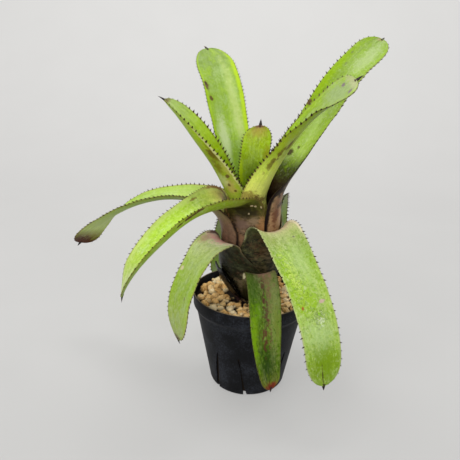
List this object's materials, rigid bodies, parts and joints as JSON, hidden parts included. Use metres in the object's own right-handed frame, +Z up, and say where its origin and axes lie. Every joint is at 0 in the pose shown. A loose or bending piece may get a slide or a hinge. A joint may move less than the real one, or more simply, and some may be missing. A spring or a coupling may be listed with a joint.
{
  "type": "potted bromeliad",
  "caption": "Spiny-leaved bromeliad with an open rosette of strap-shaped leaves on a clasping leaf tube, in a tapered slit pot filled with pale grit.",
  "frame": {"origin": "middle of the pot's base, on the surface it stands on", "axes": "+Z up along the pot's axis and the plant's; -Y is the front, the side the lowest leaf hangs on; +X is to the right seen from the front"},
  "size_m": [0.3018, 0.203, 0.3179],
  "materials": {
    "pot_plastic": "satin",
    "pale_grit": "matte",
    "stem_tissue": "matte",
    "dead_leaf_tissue": "satin",
    "leaf_back_tall_tissue": "satin",
    "leaf_left_upper_tissue": "satin",
    "leaf_centre_tissue": "satin",
    "leaf_right_back_tissue": "satin",
    "leaf_right_front_tissue": "satin",
    "leaf_left_back_tissue": "satin",
    "leaf_left_front_tissue": "satin",
    "leaf_back_right_low_tissue": "satin",
    "leaf_front_right_low_tissue": "satin",
    "leaf_front_left_low_tissue": "satin",
    "leaf_back_left_low_tissue": "satin",
    "leaf_front_lowest_tissue": "satin"
  },
  "bodies": {
    "root": {"pot": "pot_plastic", "grit": "pale_grit", "stem": "stem_tissue", "dead_leaf_base": "dead_leaf_tissue", "leaf_back_tall": "leaf_back_tall_tissue", "leaf_left_upper": "leaf_left_upper_tissue", "leaf_centre": "leaf_centre_tissue", "leaf_right_back": "leaf_right_back_tissue", "leaf_right_front": "leaf_right_front_tissue", "leaf_left_back": "leaf_left_back_tissue", "leaf_left_front": "leaf_left_front_tissue", "leaf_back_right_low": "leaf_back_right_low_tissue", "leaf_front_right_low": "leaf_front_right_low_tissue", "leaf_front_left_low": "leaf_front_left_low_tissue", "leaf_back_left_low": "leaf_back_left_low_tissue", "leaf_front_lowest": "leaf_front_lowest_tissue"}
  },
  "joints": []
}
